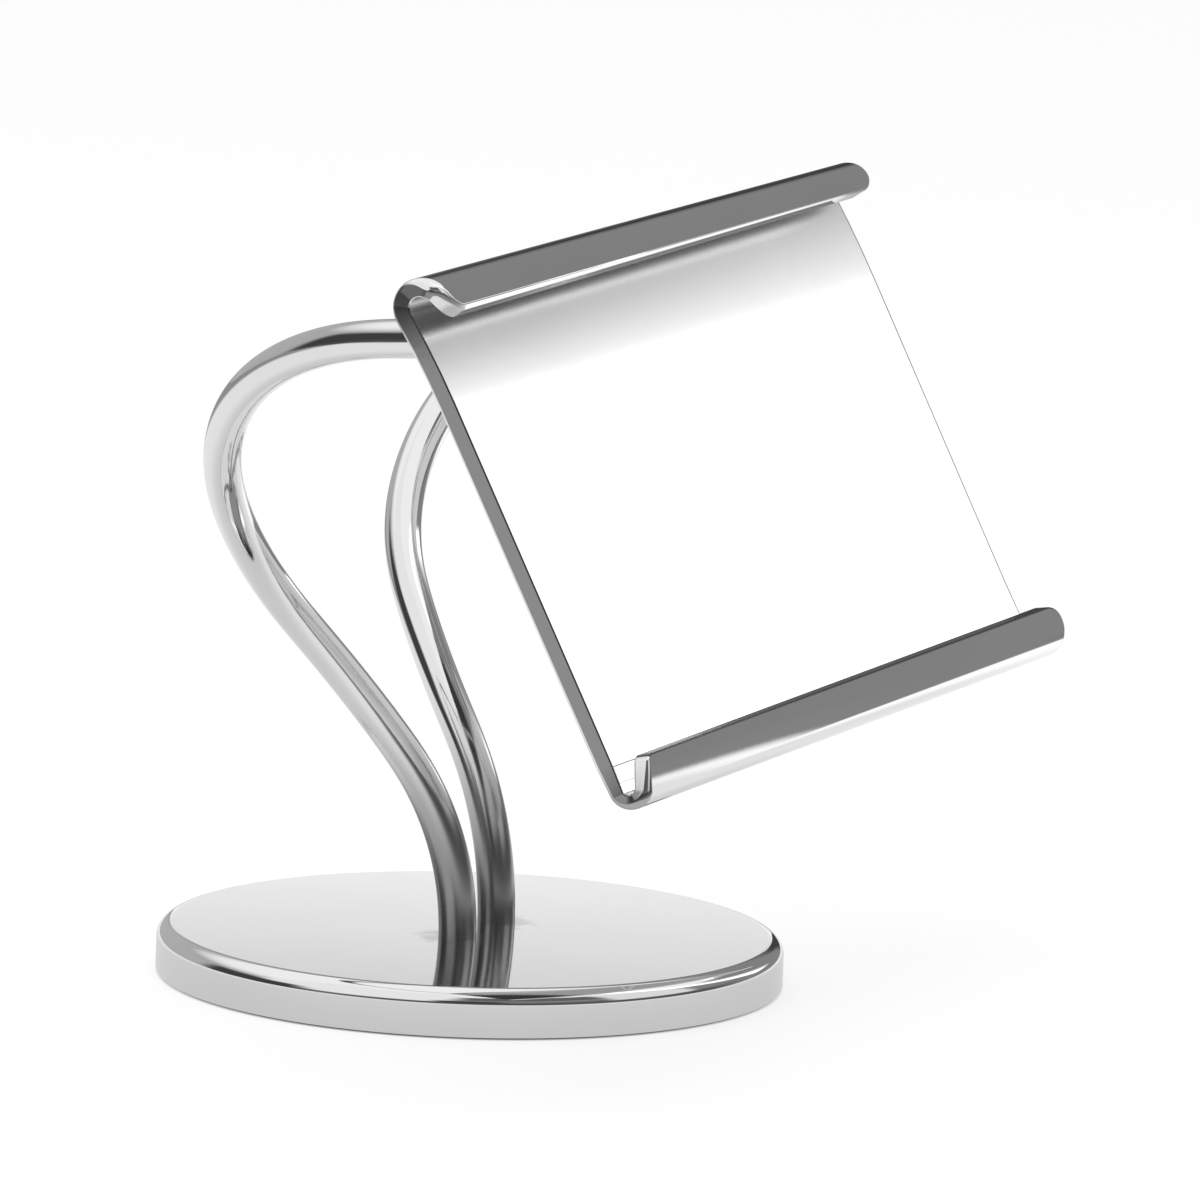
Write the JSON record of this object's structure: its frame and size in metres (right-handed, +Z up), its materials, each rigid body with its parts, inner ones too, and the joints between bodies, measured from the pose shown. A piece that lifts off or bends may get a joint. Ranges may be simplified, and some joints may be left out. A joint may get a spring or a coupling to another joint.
{
  "type": "place card holder",
  "caption": "Round weighted base with bent rods that sweep back and apart to carry a slanted plate, folded along its long edges to hold a slip of card.",
  "frame": {"origin": "centre of the underside of the round base, at the level of the table", "axes": "+Z up from the table, -Y towards the reader in front of the card plate, +X along the width of the plate"},
  "size_m": [0.105, 0.0726, 0.0785],
  "materials": {
    "polished_steel": "mirror polished stainless steel",
    "braze": "silver braze, polished back with the rods",
    "screw_steel": "plain bright steel",
    "pad_rubber": "matt black anti-slip rubber"
  },
  "bodies": {
    "root": {"base": "polished_steel", "base_pad": "pad_rubber", "left_screw": "screw_steel", "right_screw": "screw_steel", "left_rod": "polished_steel", "right_rod": "polished_steel", "left_braze": "braze", "right_braze": "braze", "card_plate": "polished_steel"}
  },
  "joints": []
}
